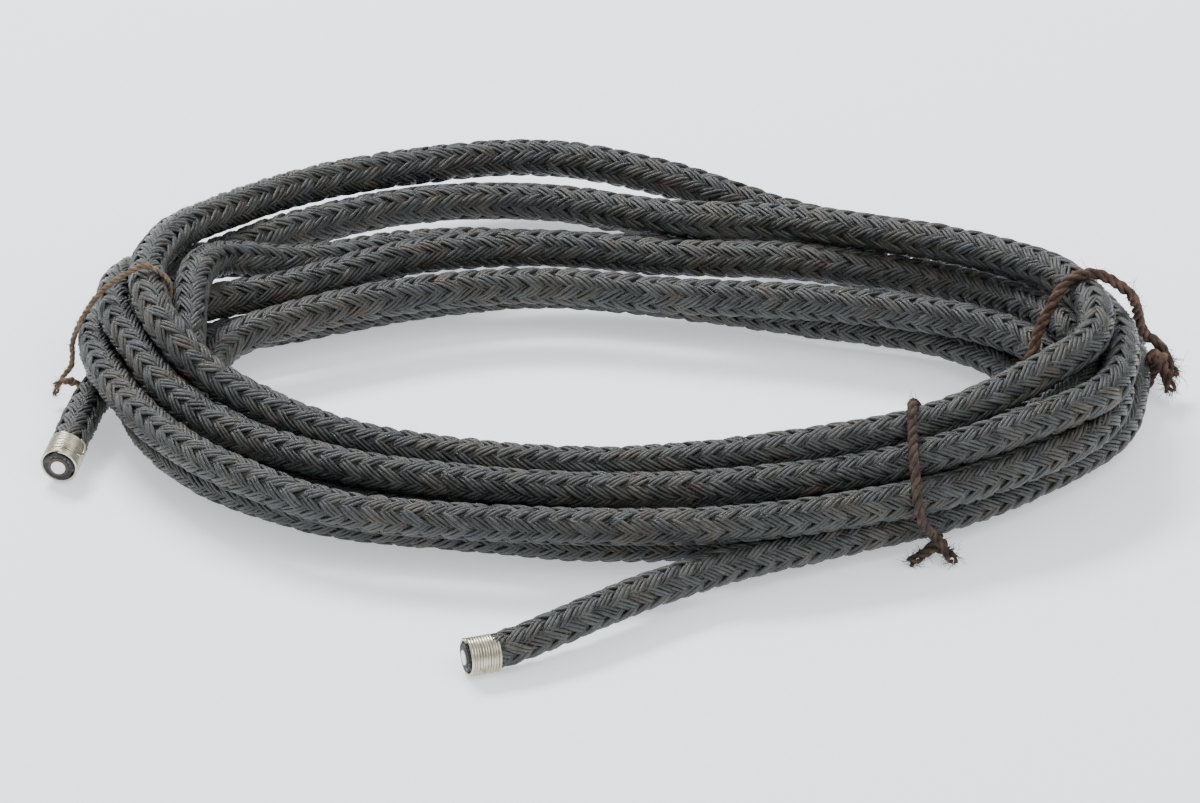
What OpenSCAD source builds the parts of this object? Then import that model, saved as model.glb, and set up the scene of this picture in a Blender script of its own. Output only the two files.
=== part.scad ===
// Cable release, coiled and tied
// A stiff braided release cable wound into an oval coil and held by three
// twine ties. Both cut ends are whipped with close turns of wire, and the cut
// faces show the inner core. Units are millimetres, +Z is up, and the coil
// stands on its ties with the origin under the middle of the whole piece.

/* [Cable] */
// outside diameter of the braided jacket
cable_d = 6.8; // [5:0.1:9]
// inside diameter of the braided jacket
jacket_bore_d = 4.7; // [3.5:0.1:6]
// outside diameter of the inner liner across its corners
liner_d = 4.2; // [3:0.1:5]
// inside diameter of the inner liner across its corners
liner_bore_d = 3.4; // [2:0.1:4]
// diameter of the inner core across its corners
core_d = 2.8; // [1:0.1:3]

/* [Whipping] */
// diameter of the whipping wire
wire_d = 0.62; // [0.4:0.01:1]
// distance from one turn of wire to the next
wire_pitch = 0.6; // [0.4:0.01:1]
// number of turns on the short end
short_end_turns = 12; // [6:1:20]
// number of turns on the long end
long_end_turns = 11; // [6:1:20]
// diameter of the jacket where the wire squeezes it
whipped_d = 6.2; // [5:0.1:7]

/* [Ties] */
// thickness of the thin twine at the left of the coil
left_twine_d = 1.1; // [0.6:0.1:3]
// thickness of the twine at the right of the coil
right_twine_d = 2.1; // [0.6:0.1:3]
// thickness of the twine at the front of the coil
front_twine_d = 1.9; // [0.6:0.1:3]

/* [Quality] */
// sides of the jacket's outline
jacket_sides = 8; // [6:1:16]
// sides of the liner's and the core's outline
inner_sides = 6; // [6:1:12]
// a stretch that bends more than this many degrees gets a middle ring
bend_limit = 30; // [8:1:45]

/* [Hidden] */

black = [0.10, 0.11, 0.11];
brown = [0.22, 0.17, 0.13];
white = [0.90, 0.90, 0.88];
silver = [0.78, 0.76, 0.70];
twine = [0.42, 0.31, 0.22];

// moves the route so that the middle of the whole piece stands over the origin
origin_shift = [-3, -49.85, 2.13];

// the route of the cable's centre line, in whole millimetres, from the short
// end to the long end; x runs to the right, y to the back and z up
route_points = [
  // short end and back pass 1
  [-104, 30, 2], [-101, 42, 3], [-98, 55, 3], [-92, 67, 4], [-78, 76, 4], [-55, 85, 4],
  [-33, 93, 4], [-10, 97, 4], [15, 93, 4], [40, 86, 4], [65, 79, 4], [79, 69, 4],
  // right turn and front pass 1
  [83, 60, 4], [84, 48, 4], [76, 37, 4], [64, 29, 4], [50, 21, 4], [25, 17, 4],
  [0, 14, 4], [-25, 18, 4], [-50, 24, 4], [-65, 37, 4], [-73, 50, 4],
  // left turn and back pass 2
  [-75, 62, 6], [-71, 70, 8], [-55, 79, 9], [-33, 87, 9], [-10, 90, 9], [15, 86, 9],
  [40, 82, 10], [65, 75, 11], [80, 68, 11],
  // right turn and front pass 2
  [87, 60, 11], [92, 46, 8], [84, 33, 5], [70, 22, 4], [50, 10, 5], [25, 1, 4],
  [0, -1, 4], [-25, 3, 4], [-50, 8, 4], [-72, 21, 4], [-84, 36, 4], [-89, 50, 4],
  // left turn and back pass 3
  [-89, 61, 8], [-86, 72, 12], [-77, 81, 10], [-58, 90, 9], [-35, 100, 10], [-10, 103, 10],
  [15, 101, 9], [40, 98, 10], [65, 91, 10], [80, 80, 12], [88, 70, 14],
  // right turn and front pass 3
  [92, 62, 16], [95, 47, 16], [88, 34, 14], [74, 25, 12], [50, 16, 10], [25, 10, 6],
  [0, 7, 4], [-25, 10, 4], [-50, 16, 4], [-71, 31, 4], [-77, 41, 5], [-79, 50, 11],
  // left turn and back pass 4
  [-79, 63, 16], [-78, 78, 18], [-73, 92, 14], [-57, 99, 9], [-35, 107, 8], [-10, 112, 5],
  [15, 111, 4], [40, 108, 4], [65, 100, 4], [82, 88, 4], [93, 74, 7],
  // right turn and front pass 4
  [98, 60, 10], [101, 46, 11], [98, 33, 11], [90, 23, 11], [71, 9, 11], [50, 0, 11],
  [25, -6, 11], [0, -5, 10], [-25, -3, 10], [-50, 2, 10], [-72, 16, 11], [-84, 30, 11],
  // left turn and back pass 5
  [-91, 43, 11], [-96, 57, 11], [-97, 71, 10], [-94, 87, 7], [-86, 99, 5], [-74, 110, 4],
  [-56, 122, 4], [-35, 131, 4], [-10, 132, 4], [15, 124, 4], [40, 116, 7], [65, 106, 10],
  [83, 93, 12], [95, 76, 15],
  // right turn and front pass 5
  [101, 60, 17], [102, 50, 18], [101, 39, 18], [97, 31, 18], [83, 20, 18], [68, 12, 17],
  [50, 9, 14], [25, 5, 13], [0, 7, 11], [-25, 10, 11], [-50, 17, 11], [-72, 31, 11],
  [-84, 43, 14],
  // left turn and back pass 6
  [-88, 52, 16], [-93, 64, 17], [-93, 78, 16], [-87, 90, 13], [-77, 98, 10], [-60, 112, 9],
  [-35, 124, 8], [-10, 125, 8], [15, 115, 10], [40, 104, 15], [65, 92, 18], [80, 82, 20],
  [90, 72, 22],
  // right turn and front pass 6
  [95, 62, 23], [97, 54, 24], [96, 44, 23], [88, 34, 23], [75, 24, 21], [62, 18, 19],
  [50, 15, 18], [25, 13, 15], [0, 15, 12], [-25, 20, 11], [-50, 27, 12], [-72, 41, 15],
  [-81, 49, 20],
  // left turn and back pass 7
  [-85, 56, 22], [-87, 65, 23], [-87, 75, 22], [-84, 88, 20], [-78, 101, 17], [-58, 124, 12],
  [-35, 136, 10], [-10, 141, 9], [15, 134, 8], [40, 125, 4], [70, 114, 4], [88, 103, 4],
  [99, 88, 4],
  // right turn and long end
  [104, 74, 4], [104, 57, 4], [101, 42, 4], [93, 31, 4], [79, 18, 4], [67, 10, 4],
  [50, 2, 4], [28, -8, 4], [13, -17, 4], [0, -27, 4], [-13, -36, 3], [-20, -39, 2],
  [-26, -41, 2]
];

// the run of each tie from one loose end, through its knot, round the bundle
// and out to the other loose end; the fourth number swells the twine at the knot
left_points = [
  [-105, 60, 3.6, 0.6], [-104, 60.8, 4, 0.8], [-103, 61.8, 3.6, 1.2], [-101.8, 62.8, 3, 2],
  [-100.3, 63.6, 1.8, 1.2], [-98, 64.3, 0.2, 1], [-93, 65, -0.7, 1], [-88, 65, -0.4, 1],
  [-84.6, 65.5, 1.5, 1], [-83.2, 66, 6, 1], [-83.2, 66, 11, 1], [-83.8, 66, 16, 1],
  [-82.6, 66, 20.5, 1], [-83.2, 65.5, 24.5, 1], [-87.2, 65, 27.6, 1], [-91.5, 65, 25.5, 1],
  [-96, 65.5, 21.5, 1], [-99.5, 65.5, 16, 1], [-101.5, 65, 11, 1], [-101.7, 64.8, 7.5, 1],
  [-102, 65.2, 5, 1], [-103.4, 64.8, 3.2, 0.9], [-104.5, 63.6, 1.6, 0.8], [-105, 62, 0.6, 0.6]
];
right_points = [
  [112, 61.5, 1.5, 0.6], [111.6, 62.6, 3, 0.8], [110.6, 64.2, 5, 1.1], [109.4, 66, 6.5, 1.7],
  [109, 67.4, 3.8, 1.1], [107.2, 67, -0.3, 1], [103, 66, -1, 1], [96, 64, -1, 1],
  [88, 61, -1, 1], [82, 57.5, -0.8, 1], [79, 55.5, 1.5, 1], [79, 55, 6, 1],
  [81.5, 54.5, 10, 1], [84.5, 54, 13.5, 1], [86, 56, 18, 1], [88.5, 58.5, 22.5, 1],
  [91.5, 61, 26.2, 1], [96, 62, 27.7, 1], [100, 62.5, 26, 1], [104, 63.5, 22, 1],
  [105.3, 66, 17.5, 1], [106, 68, 13, 1], [107.2, 69.2, 9.8, 1], [108.8, 69.2, 8.6, 1],
  [110.8, 68.4, 6.8, 0.9], [111.8, 66.8, 4.6, 0.8], [112.8, 65.4, 2.6, 0.6]
];
front_points = [
  [60.5, 0, -0.9, 0.6], [62, 1, -0.5, 0.8], [63.8, 2.2, 0.3, 1.1], [65.8, 3.6, 1, 1.8],
  [66.2, 6.5, -0.6, 1.1], [66, 11, -1, 1], [65.5, 17, -1, 1], [65, 22.5, -1, 1],
  [65, 27.5, -0.9, 1], [64.8, 32.5, 0, 1], [64.5, 34.8, 4.5, 1], [64, 32, 10, 1],
  [63, 27.5, 15, 1], [62, 23.5, 20, 1], [61, 18, 23.7, 1], [61, 12.5, 21.8, 1],
  [61, 7.5, 19.8, 1], [61.5, 3, 16, 1], [62, -1, 12, 1], [63, -1, 8, 1],
  [64.2, 1, 5.6, 1], [65, 2, 3.8, 1], [67, 0.8, 2, 0.9], [68, 0.5, 0.3, 0.8],
  [69.2, 0.8, -0.9, 0.6]
];

function unit(v) = v / norm(v);

// the point at t from b to c on a smooth curve through a, b, c and d
function curve_point(a, b, c, d, t) =
  0.5 * (2 * b + (c - a) * t + (2 * a - 5 * b + 4 * c - d) * t * t
         + (3 * b - a - 3 * c + d) * t * t * t);

// angle in degrees between two directions
function angle_between(u, v) = acos(min(1, max(-1, unit(u) * unit(v))));

// rings of an open route: one at each point, and one between two points where
// the route bends by more than bend_limit
function open_rings(p) = concat(
  [for (i = [0 : len(p) - 2])
    let (a = i == 0 ? 2 * p[0] - p[1] : p[i - 1], b = p[i], c = p[i + 1],
         d = i == len(p) - 2 ? 2 * c - b : p[i + 2],
         n = angle_between(b - a, d - c) > bend_limit ? 2 : 1)
    for (k = [0 : n - 1]) curve_point(a, b, c, d, k / n)],
  [p[len(p) - 1]]);

// corners of one ring of radius r round point c, square to direction t
function ring_corners(c, t, r, sides, up) =
  let (s = unit(cross(t, up)), u = cross(s, t))
  [for (k = [0 : sides - 1])
    c + r * (cos(360 * (k + 0.5) / sides) * s + sin(360 * (k + 0.5) / sides) * u)];

// a solid swept along an open run of rings with one radius for each ring
module rod(c, r, sides, up = [0, 0, 1]) {
  n = len(c);
  pts = [for (i = [0 : n - 1])
    let (t = unit(c[min(i + 1, n - 1)] - c[max(i - 1, 0)]))
    each ring_corners(c[i], t, r[i], sides, up)];
  polyhedron(pts, concat(
    [[for (k = [sides - 1 : -1 : 0]) k]],
    [for (i = [0 : n - 2]) for (k = [0 : sides - 1])
      let (a = i * sides + k, b = i * sides + (k + 1) % sides)
      each [[a, b, b + sides], [a, b + sides, a + sides]]],
    [[for (k = [0 : sides - 1]) (n - 1) * sides + k]]));
}

// a pipe swept along an open run of rings, with an outside and an inside radius
module pipe(c, r, q, sides, up = [0, 0, 1]) {
  n = len(c);
  m = n * sides;
  function row(rad) = [for (i = [0 : n - 1])
    let (t = unit(c[min(i + 1, n - 1)] - c[max(i - 1, 0)]))
    each ring_corners(c[i], t, rad[i], sides, up)];
  e = (n - 1) * sides;
  polyhedron(concat(row(r), row(q)), concat(
    [for (i = [0 : n - 2]) for (k = [0 : sides - 1])
      let (a = i * sides + k, b = i * sides + (k + 1) % sides)
      each [[a, b, b + sides], [a, b + sides, a + sides],
            [m + b, m + a, m + b + sides], [m + a, m + a + sides, m + b + sides]]],
    [for (k = [0 : sides - 1])
      let (b = (k + 1) % sides)
      each [[k, m + k, m + b], [k, m + b, b],
            [e + k, e + b, m + e + b], [e + k, m + e + b, m + e + k]]]));
}

route = [for (p = route_points) p + origin_shift];
route_n = len(route);
short_len = short_end_turns * wire_pitch;
long_len = long_end_turns * wire_pitch;
short_dir = unit(route[0] - route[1]);
long_dir = unit(route[route_n - 1] - route[route_n - 2]);
inner_run = open_rings([for (i = [1 : route_n - 2]) route[i]]);
rings_last = len(inner_run) - 1;

// the whole run of rings: each whipped end is straight and slightly squeezed
cable_rings = concat(
  [route[0], route[0] - short_dir * short_len, route[0] - short_dir * (short_len + 1.4)],
  [for (i = [1 : rings_last - 1]) inner_run[i]],
  [route[route_n - 1] - long_dir * (long_len + 1.4), route[route_n - 1] - long_dir * long_len,
   route[route_n - 1]]);
ring_n = len(cable_rings);
function is_whipped(i) = i < 2 || i > ring_n - 3;
jacket_r = [for (i = [0 : ring_n - 1]) (is_whipped(i) ? whipped_d : cable_d) / 2];
bore_r = [for (i = [0 : ring_n - 1]) jacket_bore_d / 2];

module braided_jacket() {
  color(black) pipe(cable_rings, jacket_r, bore_r, jacket_sides);
}

module inner_liner() {
  color(brown) pipe(cable_rings, [for (c = cable_rings) liner_d / 2],
                    [for (c = cable_rings) liner_bore_d / 2], inner_sides);
}

module inner_core() {
  color(white) rod(cable_rings, [for (c = cable_rings) core_d / 2], inner_sides);
}

// close turns of wire on an end: tip is the cut face, dir points out of it
module whipping(tip, dir, turns) {
  bore = whipped_d / 2 + 0.02;
  translate(tip)
    rotate([0, acos(dir[2]), atan2(dir[1], dir[0])])
      rotate_extrude($fn = 28)
        union() {
          translate([bore, -turns * wire_pitch]) square([wire_d / 2, turns * wire_pitch]);
          for (i = [0 : turns - 1])
            translate([bore + wire_d / 2, -(i + 0.5) * wire_pitch]) circle(d = wire_d, $fn = 6);
        }
}

module short_end_whipping() {
  color(silver) whipping(route[0], short_dir, short_end_turns);
}

module long_end_whipping() {
  color(silver) whipping(route[route_n - 1], long_dir, long_end_turns);
}

// a tie is one piece of twine of thickness d that follows its points, with a
// ring at each point and one half way to the next
module tie(points, d, up) {
  n = len(points);
  run = concat([for (i = [0 : n - 2])
    let (b = points[i], c = points[i + 1], a = i == 0 ? 2 * b - c : points[i - 1],
         e = i == n - 2 ? 2 * c - b : points[i + 2])
    for (k = [0 : 1]) curve_point(a, b, c, e, k / 2)], [points[n - 1]]);
  color(twine) rod([for (p = run) [p[0], p[1], p[2]] + origin_shift], [for (p = run) p[3] * d / 2], 8, up);
}

module left_tie() {
  tie(left_points, left_twine_d, [0.02, 1, 0.03]);
}

module right_tie() {
  tie(right_points, right_twine_d, [0.02, 1, 0.03]);
}

module front_tie() {
  tie(front_points, front_twine_d, [1, 0.02, 0.23]);
}

braided_jacket();
inner_liner();
inner_core();
short_end_whipping();
long_end_whipping();
left_tie();
right_tie();
front_tie();
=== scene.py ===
# Coiled cable release: a waxed braid jacket over a liner and a core, two wire
# whippings and three twine ties. All positions are in metres in the CAD frame.
import math

import bpy
import numpy as np
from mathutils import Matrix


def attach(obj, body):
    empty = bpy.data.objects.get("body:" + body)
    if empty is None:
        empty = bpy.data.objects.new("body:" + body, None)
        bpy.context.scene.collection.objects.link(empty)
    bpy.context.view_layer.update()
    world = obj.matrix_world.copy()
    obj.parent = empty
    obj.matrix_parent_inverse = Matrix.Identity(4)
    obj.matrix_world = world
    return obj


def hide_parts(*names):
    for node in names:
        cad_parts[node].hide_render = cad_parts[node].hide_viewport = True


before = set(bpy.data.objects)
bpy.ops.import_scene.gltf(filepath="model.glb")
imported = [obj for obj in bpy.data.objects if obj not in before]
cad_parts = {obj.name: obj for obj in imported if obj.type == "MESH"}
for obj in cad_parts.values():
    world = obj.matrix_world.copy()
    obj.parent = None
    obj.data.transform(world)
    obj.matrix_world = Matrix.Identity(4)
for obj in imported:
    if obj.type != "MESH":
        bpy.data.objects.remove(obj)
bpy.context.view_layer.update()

# the tables below are part.scad's own, in millimetres, before its shift
SHIFT = np.array([-3, -49.85, 2.13])
ROUTE_POINTS = [
  # short end and back pass 1
  [-104, 30, 2], [-101, 42, 3], [-98, 55, 3], [-92, 67, 4], [-78, 76, 4], [-55, 85, 4],
  [-33, 93, 4], [-10, 97, 4], [15, 93, 4], [40, 86, 4], [65, 79, 4], [79, 69, 4],
  # right turn and front pass 1
  [83, 60, 4], [84, 48, 4], [76, 37, 4], [64, 29, 4], [50, 21, 4], [25, 17, 4],
  [0, 14, 4], [-25, 18, 4], [-50, 24, 4], [-65, 37, 4], [-73, 50, 4],
  # left turn and back pass 2
  [-75, 62, 6], [-71, 70, 8], [-55, 79, 9], [-33, 87, 9], [-10, 90, 9], [15, 86, 9],
  [40, 82, 10], [65, 75, 11], [80, 68, 11],
  # right turn and front pass 2
  [87, 60, 11], [92, 46, 8], [84, 33, 5], [70, 22, 4], [50, 10, 5], [25, 1, 4],
  [0, -1, 4], [-25, 3, 4], [-50, 8, 4], [-72, 21, 4], [-84, 36, 4], [-89, 50, 4],
  # left turn and back pass 3
  [-89, 61, 8], [-86, 72, 12], [-77, 81, 10], [-58, 90, 9], [-35, 100, 10], [-10, 103, 10],
  [15, 101, 9], [40, 98, 10], [65, 91, 10], [80, 80, 12], [88, 70, 14],
  # right turn and front pass 3
  [92, 62, 16], [95, 47, 16], [88, 34, 14], [74, 25, 12], [50, 16, 10], [25, 10, 6],
  [0, 7, 4], [-25, 10, 4], [-50, 16, 4], [-71, 31, 4], [-77, 41, 5], [-79, 50, 11],
  # left turn and back pass 4
  [-79, 63, 16], [-78, 78, 18], [-73, 92, 14], [-57, 99, 9], [-35, 107, 8], [-10, 112, 5],
  [15, 111, 4], [40, 108, 4], [65, 100, 4], [82, 88, 4], [93, 74, 7],
  # right turn and front pass 4
  [98, 60, 10], [101, 46, 11], [98, 33, 11], [90, 23, 11], [71, 9, 11], [50, 0, 11],
  [25, -6, 11], [0, -5, 10], [-25, -3, 10], [-50, 2, 10], [-72, 16, 11], [-84, 30, 11],
  # left turn and back pass 5
  [-91, 43, 11], [-96, 57, 11], [-97, 71, 10], [-94, 87, 7], [-86, 99, 5], [-74, 110, 4],
  [-56, 122, 4], [-35, 131, 4], [-10, 132, 4], [15, 124, 4], [40, 116, 7], [65, 106, 10],
  [83, 93, 12], [95, 76, 15],
  # right turn and front pass 5
  [101, 60, 17], [102, 50, 18], [101, 39, 18], [97, 31, 18], [83, 20, 18], [68, 12, 17],
  [50, 9, 14], [25, 5, 13], [0, 7, 11], [-25, 10, 11], [-50, 17, 11], [-72, 31, 11],
  [-84, 43, 14],
  # left turn and back pass 6
  [-88, 52, 16], [-93, 64, 17], [-93, 78, 16], [-87, 90, 13], [-77, 98, 10], [-60, 112, 9],
  [-35, 124, 8], [-10, 125, 8], [15, 115, 10], [40, 104, 15], [65, 92, 18], [80, 82, 20],
  [90, 72, 22],
  # right turn and front pass 6
  [95, 62, 23], [97, 54, 24], [96, 44, 23], [88, 34, 23], [75, 24, 21], [62, 18, 19],
  [50, 15, 18], [25, 13, 15], [0, 15, 12], [-25, 20, 11], [-50, 27, 12], [-72, 41, 15],
  [-81, 49, 20],
  # left turn and back pass 7
  [-85, 56, 22], [-87, 65, 23], [-87, 75, 22], [-84, 88, 20], [-78, 101, 17], [-58, 124, 12],
  [-35, 136, 10], [-10, 141, 9], [15, 134, 8], [40, 125, 4], [70, 114, 4], [88, 103, 4],
  [99, 88, 4],
  # right turn and long end
  [104, 74, 4], [104, 57, 4], [101, 42, 4], [93, 31, 4], [79, 18, 4], [67, 10, 4],
  [50, 2, 4], [28, -8, 4], [13, -17, 4], [0, -27, 4], [-13, -36, 3], [-20, -39, 2],
  [-26, -41, 2]
]

LEFT_POINTS = [
  [-105, 60, 3.6, 0.6], [-104, 60.8, 4, 0.8], [-103, 61.8, 3.6, 1.2], [-101.8, 62.8, 3, 2],
  [-100.3, 63.6, 1.8, 1.2], [-98, 64.3, 0.2, 1], [-93, 65, -0.7, 1], [-88, 65, -0.4, 1],
  [-84.6, 65.5, 1.5, 1], [-83.2, 66, 6, 1], [-83.2, 66, 11, 1], [-83.8, 66, 16, 1],
  [-82.6, 66, 20.5, 1], [-83.2, 65.5, 24.5, 1], [-87.2, 65, 27.6, 1], [-91.5, 65, 25.5, 1],
  [-96, 65.5, 21.5, 1], [-99.5, 65.5, 16, 1], [-101.5, 65, 11, 1], [-101.7, 64.8, 7.5, 1],
  [-102, 65.2, 5, 1], [-103.4, 64.8, 3.2, 0.9], [-104.5, 63.6, 1.6, 0.8], [-105, 62, 0.6, 0.6]
]

RIGHT_POINTS = [
  [112, 61.5, 1.5, 0.6], [111.6, 62.6, 3, 0.8], [110.6, 64.2, 5, 1.1], [109.4, 66, 6.5, 1.7],
  [109, 67.4, 3.8, 1.1], [107.2, 67, -0.3, 1], [103, 66, -1, 1], [96, 64, -1, 1],
  [88, 61, -1, 1], [82, 57.5, -0.8, 1], [79, 55.5, 1.5, 1], [79, 55, 6, 1],
  [81.5, 54.5, 10, 1], [84.5, 54, 13.5, 1], [86, 56, 18, 1], [88.5, 58.5, 22.5, 1],
  [91.5, 61, 26.2, 1], [96, 62, 27.7, 1], [100, 62.5, 26, 1], [104, 63.5, 22, 1],
  [105.3, 66, 17.5, 1], [106, 68, 13, 1], [107.2, 69.2, 9.8, 1], [108.8, 69.2, 8.6, 1],
  [110.8, 68.4, 6.8, 0.9], [111.8, 66.8, 4.6, 0.8], [112.8, 65.4, 2.6, 0.6]
]

FRONT_POINTS = [
  [60.5, 0, -0.9, 0.6], [62, 1, -0.5, 0.8], [63.8, 2.2, 0.3, 1.1], [65.8, 3.6, 1, 1.8],
  [66.2, 6.5, -0.6, 1.1], [66, 11, -1, 1], [65.5, 17, -1, 1], [65, 22.5, -1, 1],
  [65, 27.5, -0.9, 1], [64.8, 32.5, 0, 1], [64.5, 34.8, 4.5, 1], [64, 32, 10, 1],
  [63, 27.5, 15, 1], [62, 23.5, 20, 1], [61, 18, 23.7, 1], [61, 12.5, 21.8, 1],
  [61, 7.5, 19.8, 1], [61.5, 3, 16, 1], [62, -1, 12, 1], [63, -1, 8, 1],
  [64.2, 1, 5.6, 1], [65, 2, 3.8, 1], [67, 0.8, 2, 0.9], [68, 0.5, 0.3, 0.8],
  [69.2, 0.8, -0.9, 0.6]
]

WIRE_D = 0.62
WIRE_PITCH = 0.6
SHORT_TURNS = 12
LONG_TURNS = 11
rng = np.random.default_rng(7)


def unit(v):
    return v / np.maximum(np.linalg.norm(v, axis=-1, keepdims=True), 1e-12)


def smooth(points, step):
    """even samples every step along the smooth curve through the points, and
    each sample's own columns (a fourth column is carried along)"""
    p = np.array(points, float)
    q = np.vstack([2 * p[0] - p[1], p, 2 * p[-1] - p[-2]])
    out = []
    for i in range(1, len(q) - 2):
        a, b, c, d = q[i - 1 : i + 3]
        for t in np.arange(20) / 20:
            out.append(0.5 * (2 * b + (c - a) * t + (2 * a - 5 * b + 4 * c - d) * t * t
                              + (3 * b - a - 3 * c + d) * t ** 3))
    out.append(p[-1])
    out = np.array(out)
    s = np.concatenate([[0], np.cumsum(np.linalg.norm(np.diff(out[:, :3], axis=0), axis=1))])
    n = max(2, int(round(s[-1] / step)))
    e = np.linspace(0, s[-1], n + 1)
    return np.stack([np.interp(e, s, out[:, k]) for k in range(p.shape[1])], 1), e


def frames(p, start=(0, 0, 1)):
    """directions along a line and two directions across it that don't twist"""
    t = unit(np.gradient(p, axis=0))
    n = np.zeros_like(p)
    v = np.array(start, float)
    for i in range(len(p)):
        v = v - t[i] * (v @ t[i])
        v = v / np.linalg.norm(v)
        n[i] = v
    return t, n, np.cross(t, n)


def soft(p, k):
    """a line with its kinks eased over k samples, ends kept"""
    w = np.hanning(2 * k + 3)[1:-1]
    w /= w.sum()
    q = np.vstack([np.repeat(p[:1], k, 0), p, np.repeat(p[-1:], k, 0)])
    return np.stack([np.convolve(q[:, j], w, "valid") for j in range(p.shape[1])], 1)


class Mesh:
    """collects swept rings into one mesh"""

    def __init__(self):
        self.v, self.f, self.n = [], [], 0

    def sweep(self, rings, cap=True):
        """rings: an array of rings x corners x 3"""
        m, k = rings.shape[:2]
        i = np.arange(m - 1)[:, None] * k
        a = np.arange(k)[None, :]
        b = (a + 1) % k
        quads = np.stack([i + a, i + b, i + b + k, i + a + k], -1).reshape(-1, 4) + self.n
        self.f.append(("q", quads))
        if cap:
            self.f.append(("n", [list(range(self.n + k - 1, self.n - 1, -1)),
                                 list(range(self.n + (m - 1) * k, self.n + m * k))]))
        self.v.append(rings.reshape(-1, 3))
        self.n += m * k

    def tube(self, p, r, sides=6, cap=True, squash=1.0, start=(0.1, 0.2, 1)):
        t, n, b = frames(p, start)
        a = np.arange(sides) * 2 * math.pi / sides
        r = np.broadcast_to(np.asarray(r, float), (len(p),))
        ring = (np.cos(a)[None, :, None] * n[:, None] * squash
                + np.sin(a)[None, :, None] * b[:, None]) * r[:, None, None]
        self.sweep(p[:, None] + ring, cap)

    def build(self, name, material, node=()):
        v = np.concatenate(self.v) * 0.001
        quads = np.concatenate([f for k, f in self.f if k == "q"])
        extra = [x for k, f in self.f if k == "n" for x in f]
        loops = np.concatenate([quads.reshape(-1)] + [np.array(x) for x in extra]).astype(np.int32)
        sizes = np.concatenate([np.full(len(quads), 4), [len(x) for x in extra]]).astype(np.int32)
        me = bpy.data.meshes.new(name)
        me.vertices.add(len(v))
        me.vertices.foreach_set("co", v.astype(np.float32).reshape(-1))
        me.loops.add(len(loops))
        me.loops.foreach_set("vertex_index", loops)
        me.polygons.add(len(sizes))
        me.polygons.foreach_set("loop_start", np.concatenate([[0], np.cumsum(sizes)[:-1]]).astype(np.int32))
        flat = np.concatenate([np.ones(len(quads), bool), np.zeros(len(extra), bool)])
        me.polygons.foreach_set("use_smooth", flat)
        me.update(calc_edges=True)
        me.validate()
        me.materials.append(material)
        ob = bpy.data.objects.new(name, me)
        bpy.context.scene.collection.objects.link(ob)
        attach(ob, "root")
        if node:
            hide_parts(*node)
        return ob


# ---------------------------------------------------------------- materials
def nodes_of(name):
    m = bpy.data.materials.new(name)
    m.use_nodes = True
    nt = m.node_tree
    return m, nt, nt.nodes["Principled BSDF"]


def noise(nt, scale, detail=3.0, rough=0.55, stretch=None):
    tc = nt.nodes.new("ShaderNodeTexCoord")
    tx = nt.nodes.new("ShaderNodeTexNoise")
    tx.inputs["Scale"].default_value = scale
    tx.inputs["Detail"].default_value = detail
    tx.inputs["Roughness"].default_value = rough
    nt.links.new(tc.outputs["Object"], tx.inputs["Vector"])
    return tx.outputs["Fac"]


def ramp(nt, fac, stops):
    r = nt.nodes.new("ShaderNodeValToRGB")
    e = r.color_ramp.elements
    while len(e) < len(stops):
        e.new(0.5)
    for el, (p, c) in zip(e, stops):
        el.position = p
        el.color = (*c, 1) if len(c) == 3 else (c[0], c[0], c[0], 1)
    nt.links.new(fac, r.inputs["Fac"])
    return r.outputs["Color"]


def mix(nt, fac, a, b):
    m = nt.nodes.new("ShaderNodeMix")
    m.data_type = "RGBA"
    nt.links.new(fac, m.inputs[0])
    for sock, val in ((m.inputs[6], a), (m.inputs[7], b)):
        if isinstance(val, tuple):
            sock.default_value = (*val, 1)
        else:
            nt.links.new(val, sock)
    return m.outputs[2]


def bump(nt, bs, height, strength, distance):
    b = nt.nodes.new("ShaderNodeBump")
    b.inputs["Strength"].default_value = strength
    b.inputs["Distance"].default_value = distance
    nt.links.new(height, b.inputs["Height"])
    nt.links.new(b.outputs["Normal"], bs.inputs["Normal"])


def wax_material(name, lift, shift):
    """black waxed yarn: grey-green and brown patches, dull wax on top"""
    m, nt, bs = nodes_of(name)
    patch = noise(nt, 55 + shift, 4)
    fine = noise(nt, 420 + 9 * shift, 5, 0.7)
    base = ramp(nt, patch, [(0.34, (0.0090 * lift, 0.0102 * lift, 0.0110 * lift)),
                            (0.50, (0.0195 * lift, 0.0215 * lift, 0.0185 * lift)),
                            (0.62, (0.036 * lift, 0.027 * lift, 0.016 * lift)),
                            (0.72, (0.011 * lift, 0.0125 * lift, 0.0130 * lift))])
    bloom = ramp(nt, fine, [(0.42, (0.0,)), (0.72, (0.75,))])
    nt.links.new(mix(nt, bloom, base, (0.070 * lift, 0.075 * lift, 0.074 * lift)), bs.inputs["Base Color"])
    nt.links.new(ramp(nt, fine, [(0.38, (0.17,)), (0.62, (0.52,))]), bs.inputs["Roughness"])
    bs.inputs["Specular IOR Level"].default_value = 0.5
    bs.inputs["Coat Weight"].default_value = 0.12
    bs.inputs["Coat Roughness"].default_value = 0.38
    bump(nt, bs, noise(nt, 2600, 4, 0.75), 0.75, 0.00030)
    return m


def plain_material(name, stops, scale, rough, metal=0.0, bump_scale=900, bump_by=0.3, dist=0.0002):
    m, nt, bs = nodes_of(name)
    nt.links.new(ramp(nt, noise(nt, scale, 4), stops), bs.inputs["Base Color"])
    nt.links.new(ramp(nt, noise(nt, scale * 2.3, 3), [(0.3, (rough[0],)), (0.7, (rough[1],))]),
                 bs.inputs["Roughness"])
    bs.inputs["Metallic"].default_value = metal
    bump(nt, bs, noise(nt, bump_scale, 4, 0.65), bump_by, dist)
    return m


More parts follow.
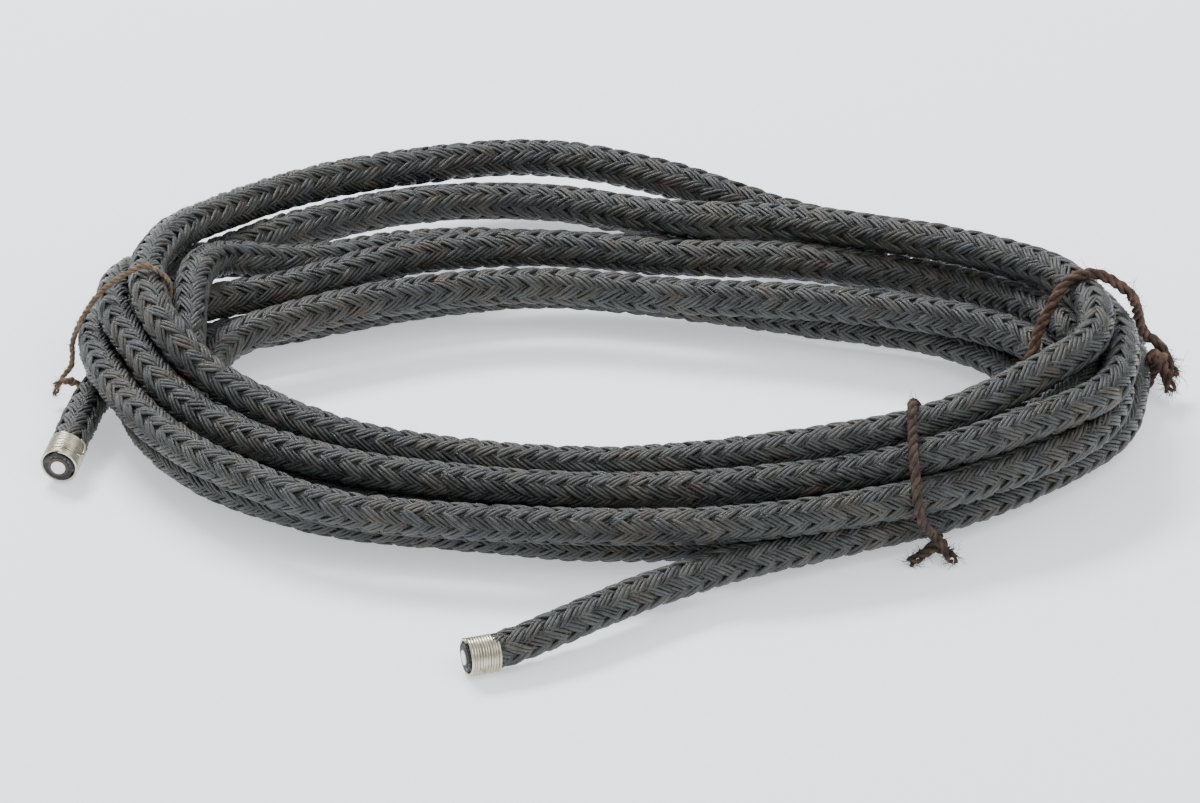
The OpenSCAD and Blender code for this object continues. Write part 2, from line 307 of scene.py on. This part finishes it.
waxes = [wax_material("waxed_braid_%d" % i, l, s) for i, (l, s) in enumerate([(1.0, 0), (1.35, 7), (0.8, 13), (1.15, 21)])]
under_wax = plain_material("waxed_underside", [(0.3, (0.008, 0.008, 0.008)), (0.7, (0.022, 0.020, 0.017))], 200, (0.6, 0.8))
wire_metal = plain_material("whipping_wire", [(0.3, (0.43, 0.395, 0.30)), (0.55, (0.57, 0.53, 0.42)), (0.75, (0.28, 0.24, 0.16))],
                            260, (0.24, 0.42), 1.0, 1400, 0.25, 0.0001)
liner_mat = plain_material("liner", [(0.3, (0.030, 0.024, 0.020)), (0.7, (0.085, 0.066, 0.050))], 500, (0.6, 0.85), 0.0, 1400, 0.6, 0.0003)
core_mat = plain_material("core", [(0.3, (0.80, 0.80, 0.78)), (0.7, (0.90, 0.90, 0.89))], 600, (0.5, 0.7))
twine_red = plain_material("twine_brown", [(0.30, (0.030, 0.016, 0.011)), (0.52, (0.085, 0.046, 0.031)), (0.72, (0.21, 0.13, 0.088))],
                           420, (0.8, 0.95), 0.0, 2200, 0.8, 0.0004)
twine_tan = plain_material("twine_tan", [(0.30, (0.10, 0.062, 0.038)), (0.52, (0.21, 0.14, 0.09)), (0.72, (0.36, 0.27, 0.19))],
                           420, (0.8, 0.95), 0.0, 2200, 0.8, 0.0004)
twine_dark = plain_material("twine_dark", [(0.30, (0.020, 0.012, 0.009)), (0.52, (0.055, 0.034, 0.024)), (0.72, (0.120, 0.080, 0.055))],
                            420, (0.8, 0.95), 0.0, 2200, 0.8, 0.0004)

# ---------------------------------------------------------------- the cable
STEP = 0.85
line, s_line = smooth(np.array(ROUTE_POINTS, float) + SHIFT, STEP)
line = soft(line, 9)
LENGTH = s_line[-1]
T, N, B = frames(line)
N_RINGS = len(line)
s = s_line
short_len = SHORT_TURNS * WIRE_PITCH
long_len = LONG_TURNS * WIRE_PITCH


def ease(x):
    x = np.clip(x, 0, 1)
    return x * x * (3 - 2 * x)


# 1 along the free cable, less where the wire squeezes the braid
squeeze = 1 - 0.145 * np.maximum(1 - ease((s - short_len + 0.2) / 1.6), 1 - ease((LENGTH - long_len - s + 0.2) / 1.6))


def wander(n, grain, size):
    """slow random drift along the cable"""
    k = rng.normal(size=int(n / grain) + 4)
    return size * np.interp(np.arange(n) / grain, np.arange(len(k)), k)


body = Mesh()
pick = np.unique(np.concatenate([np.arange(0, N_RINGS, 7), [N_RINGS - 1]]))
body.tube(line[pick], np.where(squeeze[pick] < 0.93, 2.86, 2.6), 14, True)
cable = body.build("cable_body", under_wax, ("braided_jacket",))

lin = Mesh()
lin.tube(line[pick] + 0 * T[pick], 2.08, 14, True)
tip = lin.v[-1].reshape(-1, 14, 3)
tip[0] -= T[0] * 0.12
tip[-1] += T[-1] * 0.12
liner = lin.build("liner_body", liner_mat, ("inner_liner",))

cor = Mesh()
cpts = line[pick].copy()
cpts[0] -= T[0] * 0.30
cpts[-1] += T[-1] * 0.30
cor.tube(cpts, 1.42, 18, True)
core = cor.build("core_body", core_mat, ("inner_core",))

# sixteen carriers, two over and two under, eight each way round
PITCH = 32.0
corner = np.radians([25, 62, 118, 155, 235, 305])
across = np.cos(corner)
height = np.sin(corner)
base_drift = wander(N_RINGS, 40, 0.03)
for hand in (1, -1):
    for k in range(8):
        th = (hand * 2 * math.pi * s / PITCH + k * math.pi / 4 + (0.0 if hand > 0 else 0.0)
              + base_drift + wander(N_RINGS, 9, 0.035))
        lift = np.sin(4 * (th - base_drift)) * hand
        lift = np.tanh(2.2 * lift) / math.tanh(2.2)
        over = 0.5 + 0.5 * lift
        r = (2.86 + 0.30 * lift + wander(N_RINGS, 8, 0.03)) * squeeze
        out = np.cos(th)[:, None] * N + np.sin(th)[:, None] * B
        p = line + out * r[:, None]
        t = unit(np.gradient(p, axis=0))
        up = unit(out - t * (out * t).sum(1, keepdims=True))
        side = np.cross(t, up)
        w = (0.93 + 0.13 * over + wander(N_RINGS, 10, 0.05)) * (0.6 + 0.4 * squeeze)
        h = (0.36 + 0.10 * over) * squeeze ** 2
        roll = wander(N_RINGS, 8, 0.12)
        up2 = unit(up + side * roll[:, None])
        side2 = np.cross(t, up2)
        # each carrier is three thin yarns laid side by side
        m = Mesh()
        for j in (-1, 0, 1):
            off = w * 0.66 * j + wander(N_RINGS, 6, 0.05)
            rise = (0.10 if j == 0 else -0.05) + wander(N_RINGS, 5, 0.045)
            fat = 1 + wander(N_RINGS, 5, 0.10)
            c = p + side2 * off[:, None] + up2 * rise[:, None]
            ring = (c[:, None] + side2[:, None] * (across[None, :, None] * (w * 0.40 * fat)[:, None, None])
                    + up2[:, None] * (height[None, :, None] * (h * fat)[:, None, None]))
            # the yarns are cut off flush with the end of the cable
            for tip_p, out_dir, rows in ((line[0], -T[0], slice(0, 8)), (line[-1], T[-1], slice(-8, None))):
                past = np.maximum((ring[rows] - tip_p) @ out_dir, 0)
                ring[rows] -= past[..., None] * out_dir
            m.sweep(ring[:, ::-1], True)
        m.build("strand_%s%d" % ("r" if hand > 0 else "l", k), waxes[(k + (hand > 0) * 2) % 4])


def whip(name, tip_p, into, n, b, turns, node):
    """close turns of wire from the cut face inwards, with a tucked end"""
    per = 30
    a = np.linspace(0, 2 * math.pi * turns, turns * per + 1)
    r = 3.14 + WIRE_D / 2 + 0.03 * np.sin(a * 0.37 + 1)
    along = WIRE_D / 2 + (turns * WIRE_PITCH - WIRE_D) * a / a[-1] + 0.02 * np.sin(a * 1.7)
    p = (tip_p + into * along[:, None] + n * (np.cos(a) * r)[:, None] + b * (np.sin(a) * r)[:, None])
    m = Mesh()
    m.tube(p, WIRE_D / 2, 8)
    # the tail: a short stretch laid back over the turns and bent under
    q = np.array([[0.4, 0.0], [1.2, 0.25], [2.2, 0.42], [3.2, 0.45], [4.2, 0.30], [4.9, -0.1]])
    ph = 0.9
    rr = 3.14 + WIRE_D + 0.16 + 0.10 * np.sin(q[:, 0])
    rr[0] -= 0.45
    rr[-1] -= 0.5
    tail = (tip_p + into * (turns * WIRE_PITCH - q[:, :1]) + n * (np.cos(ph + q[:, 1]) * rr)[:, None]
            + b * (np.sin(ph + q[:, 1]) * rr)[:, None])
    tl, _ = smooth(tail, 0.25)
    m.tube(tl, WIRE_D * 0.42, 8)
    return m.build(name, wire_metal, (node,))


w1 = whip("whipping_short", line[0], T[0], N[0], B[0], SHORT_TURNS, "short_end_whipping")
w2 = whip("whipping_long", line[-1], -T[-1], N[-1], B[-1], LONG_TURNS, "long_end_whipping")


# ---------------------------------------------------------------- the ties
def tie(name, points, d, material, node, hairs, seed):
    g = np.random.default_rng(seed)
    c, e = smooth(np.array(points, float) + np.array([*SHIFT, 0]), 0.30)
    fat = c[:, 3]
    p = c[:, :3]
    t, n, b = frames(p, (0.1, 0.9, 0.3))
    m = Mesh()
    twist = 2 * math.pi * e / (3.4 * d)
    end = np.minimum(e, e[-1] - e)
    splay = 1 + 1.1 * (1 - ease(end / (2.2 * d)))
    for k in range(3):
        a = twist + k * 2 * math.pi / 3 + 0.25 * np.interp(e, np.linspace(0, e[-1], 30), g.normal(size=30))
        rr = 0.27 * d * splay * np.clip(fat, 0.8, 1.25)
        q = p + n * (np.cos(a) * rr)[:, None] + b * (np.sin(a) * rr)[:, None]
        m.tube(q, 0.275 * d * np.clip(fat, 0.55, 1.15) * (1 + 0.08 * np.sin(e * 5 + k)), 7)
    # the knot: crossing loops pulled tight where the twine swells
    i = int(np.argmax(fat))
    o, R = p[i], d * 0.72
    a = np.linspace(0, 2 * math.pi, 61)
    x = np.sin(a) + 2 * np.sin(2 * a)
    y = np.cos(a) - 2 * np.cos(2 * a)
    z = -np.sin(3 * a)
    q = o + (t[i] * x[:, None] + n[i] * y[:, None]) * (R / 3.0) + b[i] * (z[:, None] * R * 0.55)
    m.tube(q[:-1], 0.36 * d, 7)
    # loose fibres
    for _ in range(hairs):
        j = int(g.integers(0, len(p)))
        if g.random() < 0.35:
            j = int(g.integers(0, max(2, int(2.2 * d / 0.30)))) if g.random() < 0.5 else len(p) - 1 - int(g.integers(0, max(2, int(2.2 * d / 0.30))))
        d0 = unit(g.normal(size=3) + 0.8 * t[j] * g.choice([-1, 1]))
        bend = unit(g.normal(size=3))
        ln = d * g.uniform(0.35, 1.05) * (1.8 if g.random() < 0.06 else 1.0)
        u = np.linspace(0, 1, 6)[:, None]
        q = p[j] + unit(n[j] * g.normal() + b[j] * g.normal()) * d * 0.42 + d0 * u * ln + bend * (u ** 2) * ln * 0.5
        q[:, 2] = np.maximum(q[:, 2], 0.12)
        m.tube(q, np.linspace(0.065, 0.03, 6), 3)
    for v in m.v:
        v[:, 2] = np.maximum(v[:, 2], 0.0)
    return m.build(name, material, (node,))


tie("tie_left", LEFT_POINTS, 1.1, twine_tan, "left_tie", 350, 3)
tie("tie_right", RIGHT_POINTS, 2.1, twine_red, "right_tie", 1100, 4)
tie("tie_front", FRONT_POINTS, 1.9, twine_dark, "front_tie", 800, 5)

# ---------------------------------------------------------------- the set
floor = bpy.data.meshes.new("floor")
floor.from_pydata([(-6, -6, 0), (6, -6, 0), (6, 6, 0), (-6, 6, 0)], [], [(0, 1, 2, 3)])
floor_ob = bpy.data.objects.new("floor", floor)
bpy.context.scene.collection.objects.link(floor_ob)
fm, fnt, fbs = nodes_of("floor")
fbs.inputs["Base Color"].default_value = (0.90, 0.925, 0.955, 1)
fbs.inputs["Roughness"].default_value = 0.9
fbs.inputs["Specular IOR Level"].default_value = 0.1
fbs.inputs["Emission Color"].default_value = (0.925, 0.960, 1.0, 1)
fbs.inputs["Emission Strength"].default_value = 0.6
floor.materials.append(fm)

world = bpy.data.worlds.new("soft_room")
bpy.context.scene.world = world
world.use_nodes = True
bg = world.node_tree.nodes["Background"]
bg.inputs["Color"].default_value = (0.93, 0.96, 1.0, 1)
bg.inputs["Strength"].default_value = 0.78


def area(name, at, size, power, colour=(1, 1, 1)):
    li = bpy.data.lights.new(name, "AREA")
    li.shape = "RECTANGLE"
    li.size, li.size_y = size
    li.energy = power
    li.color = colour
    ob = bpy.data.objects.new(name, li)
    bpy.context.scene.collection.objects.link(ob)
    d = np.array(at, float)
    from mathutils import Vector
    ob.location = at
    ob.rotation_euler = Vector(-d).to_track_quat("-Z", "Y").to_euler()
    return ob


area("key", (-0.45, 0.85, 1.1), (0.8, 0.35), 30, (0.95, 0.97, 1.0))
area("fill", (0.6, -0.7, 1.2), (0.9, 0.9), 10, (1.0, 0.99, 0.97))

# the camera looks from the front and 30 degrees above, from far away
dist = 4.0
aim = np.array([-0.00203, 0.00415, 0.00573])
cam = bpy.data.cameras.new("camera")
cam.sensor_width = 36
cam.lens = 36 * dist / 0.2330
cam.clip_start, cam.clip_end = 0.5, 40
cam_ob = bpy.data.objects.new("camera", cam)
bpy.context.scene.collection.objects.link(cam_ob)
cam_ob.location = tuple(aim + dist * np.array([0, -math.cos(math.radians(30)), math.sin(math.radians(30))]))
cam_ob.rotation_euler = (math.radians(60), 0, 0)
bpy.context.scene.camera = cam_ob
